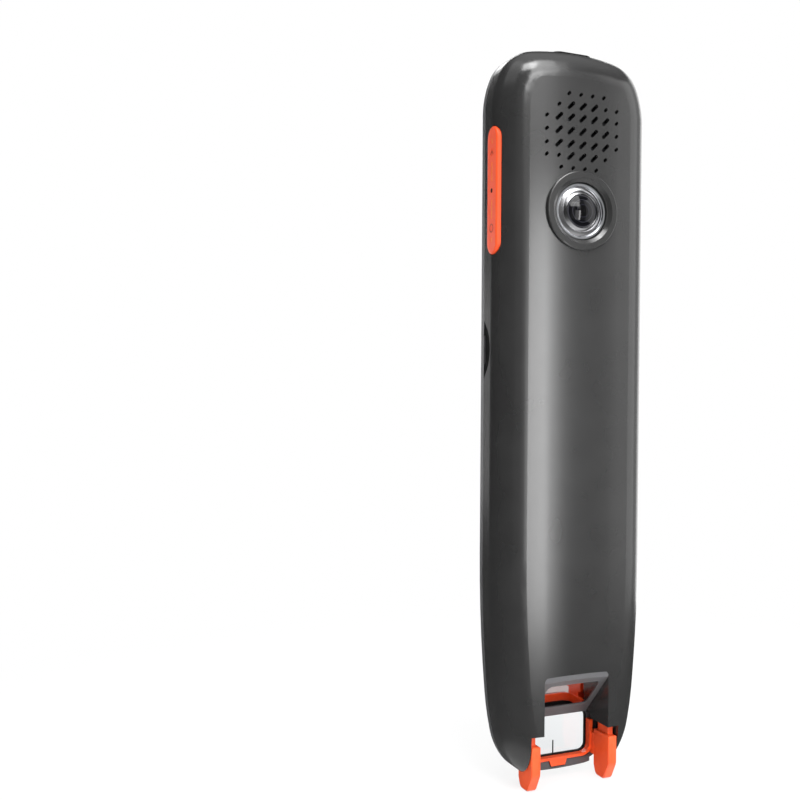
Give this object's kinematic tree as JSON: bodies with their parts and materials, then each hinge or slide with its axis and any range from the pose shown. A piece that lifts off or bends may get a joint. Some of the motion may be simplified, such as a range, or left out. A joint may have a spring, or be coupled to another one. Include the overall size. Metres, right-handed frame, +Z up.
{
  "type": "handheld translator",
  "caption": "Slim scanning translation pen with a full-length glass front, a see-through scan window between two trigger feet, rear camera, speaker, side key and port plug.",
  "frame": {"origin": "centre of the pen's width and depth, level with the undersides of the two trigger feet that it stands on", "axes": "+X across the pen to the side with the key, +Y out of the back with the camera, +Z up the pen to the USB port"},
  "size_m": [0.0372, 0.0136, 0.1639],
  "materials": {
    "shell": "fine matte moulded",
    "rim": "satin, dark grey",
    "cover_glass": "polished",
    "clear_window": "polished clear",
    "mask": "black print",
    "display": "display surface",
    "plate": "stamped",
    "board": "green lacquer",
    "screw": "machined",
    "ribbon": "amber film",
    "foam": "closed-cell foam",
    "battery": "foil pouch",
    "chip": "moulded",
    "shield": "pressed tin plate",
    "antenna": "fired",
    "chrome_ring": "polished",
    "barrel": "turned and polished",
    "lens": "coated",
    "module": "moulded",
    "mesh": "woven",
    "key": "satin orange",
    "pin": "ground",
    "plug": "moulded",
    "trigger": "satin orange",
    "spring": "drawn wire",
    "scanner_frame": "moulded, lighter grey",
    "scanner_glass": "tinted",
    "light": "lamp strip"
  },
  "bodies": {
    "housing": {"rear_shell": "shell", "front_frame": "rim", "cover_glass": "cover_glass", "scan_window": "clear_window", "bezel_mask": "mask", "display_panel": "display", "chassis_plate": "plate", "main_board": "board", "board_screws": "screw", "display_ribbon": "ribbon", "battery_pad": "foam", "battery": "battery", "processor": "chip", "shield_can": "shield", "power_chip": "chip", "antenna": "antenna", "microphone": "shield", "camera_bezel": "chrome_ring", "lens_barrel": "barrel", "camera_lens": "lens", "camera_module": "module", "speaker_mesh": "mesh", "speaker_gasket": "foam", "speaker_driver": "module", "usb_port": "shield", "key_bracket": "plate", "key_pin": "pin", "key_board": "board", "key_switches": "module", "card_socket": "shield", "trigger_springs": "spring", "trigger_switch": "module", "scanner_frame": "scanner_frame", "scanner_glass": "scanner_glass", "scan_camera": "module", "scan_light": "light"},
    "trigger": {"trigger_frame": "trigger", "left_foot": "trigger", "right_foot": "trigger"},
    "key": {"side_key": "key"},
    "plug": {"card_plug": "plug"}
  },
  "joints": [
    {"name": "trigger_slide", "type": "slide", "parent": "housing", "child": "trigger", "axis": [0, 0, 1], "range_m": [0, 0.0012], "stiffness_N_per_m": 400, "springref_m": -0.003, "deforming": ["trigger_springs"]},
    {"name": "key_rock", "type": "hinge", "parent": "housing", "child": "key", "pos_m": [0.0153, -0.00035, 0.1321], "axis": [0, 1, 0], "range_deg": [-1.2, 1.2], "stiffness_Nm_per_rad": 0.57},
    {"name": "plug_pull", "type": "slide", "parent": "housing", "child": "plug", "axis": [1, 0, 0], "range_m": [0, 0.004]}
  ]
}
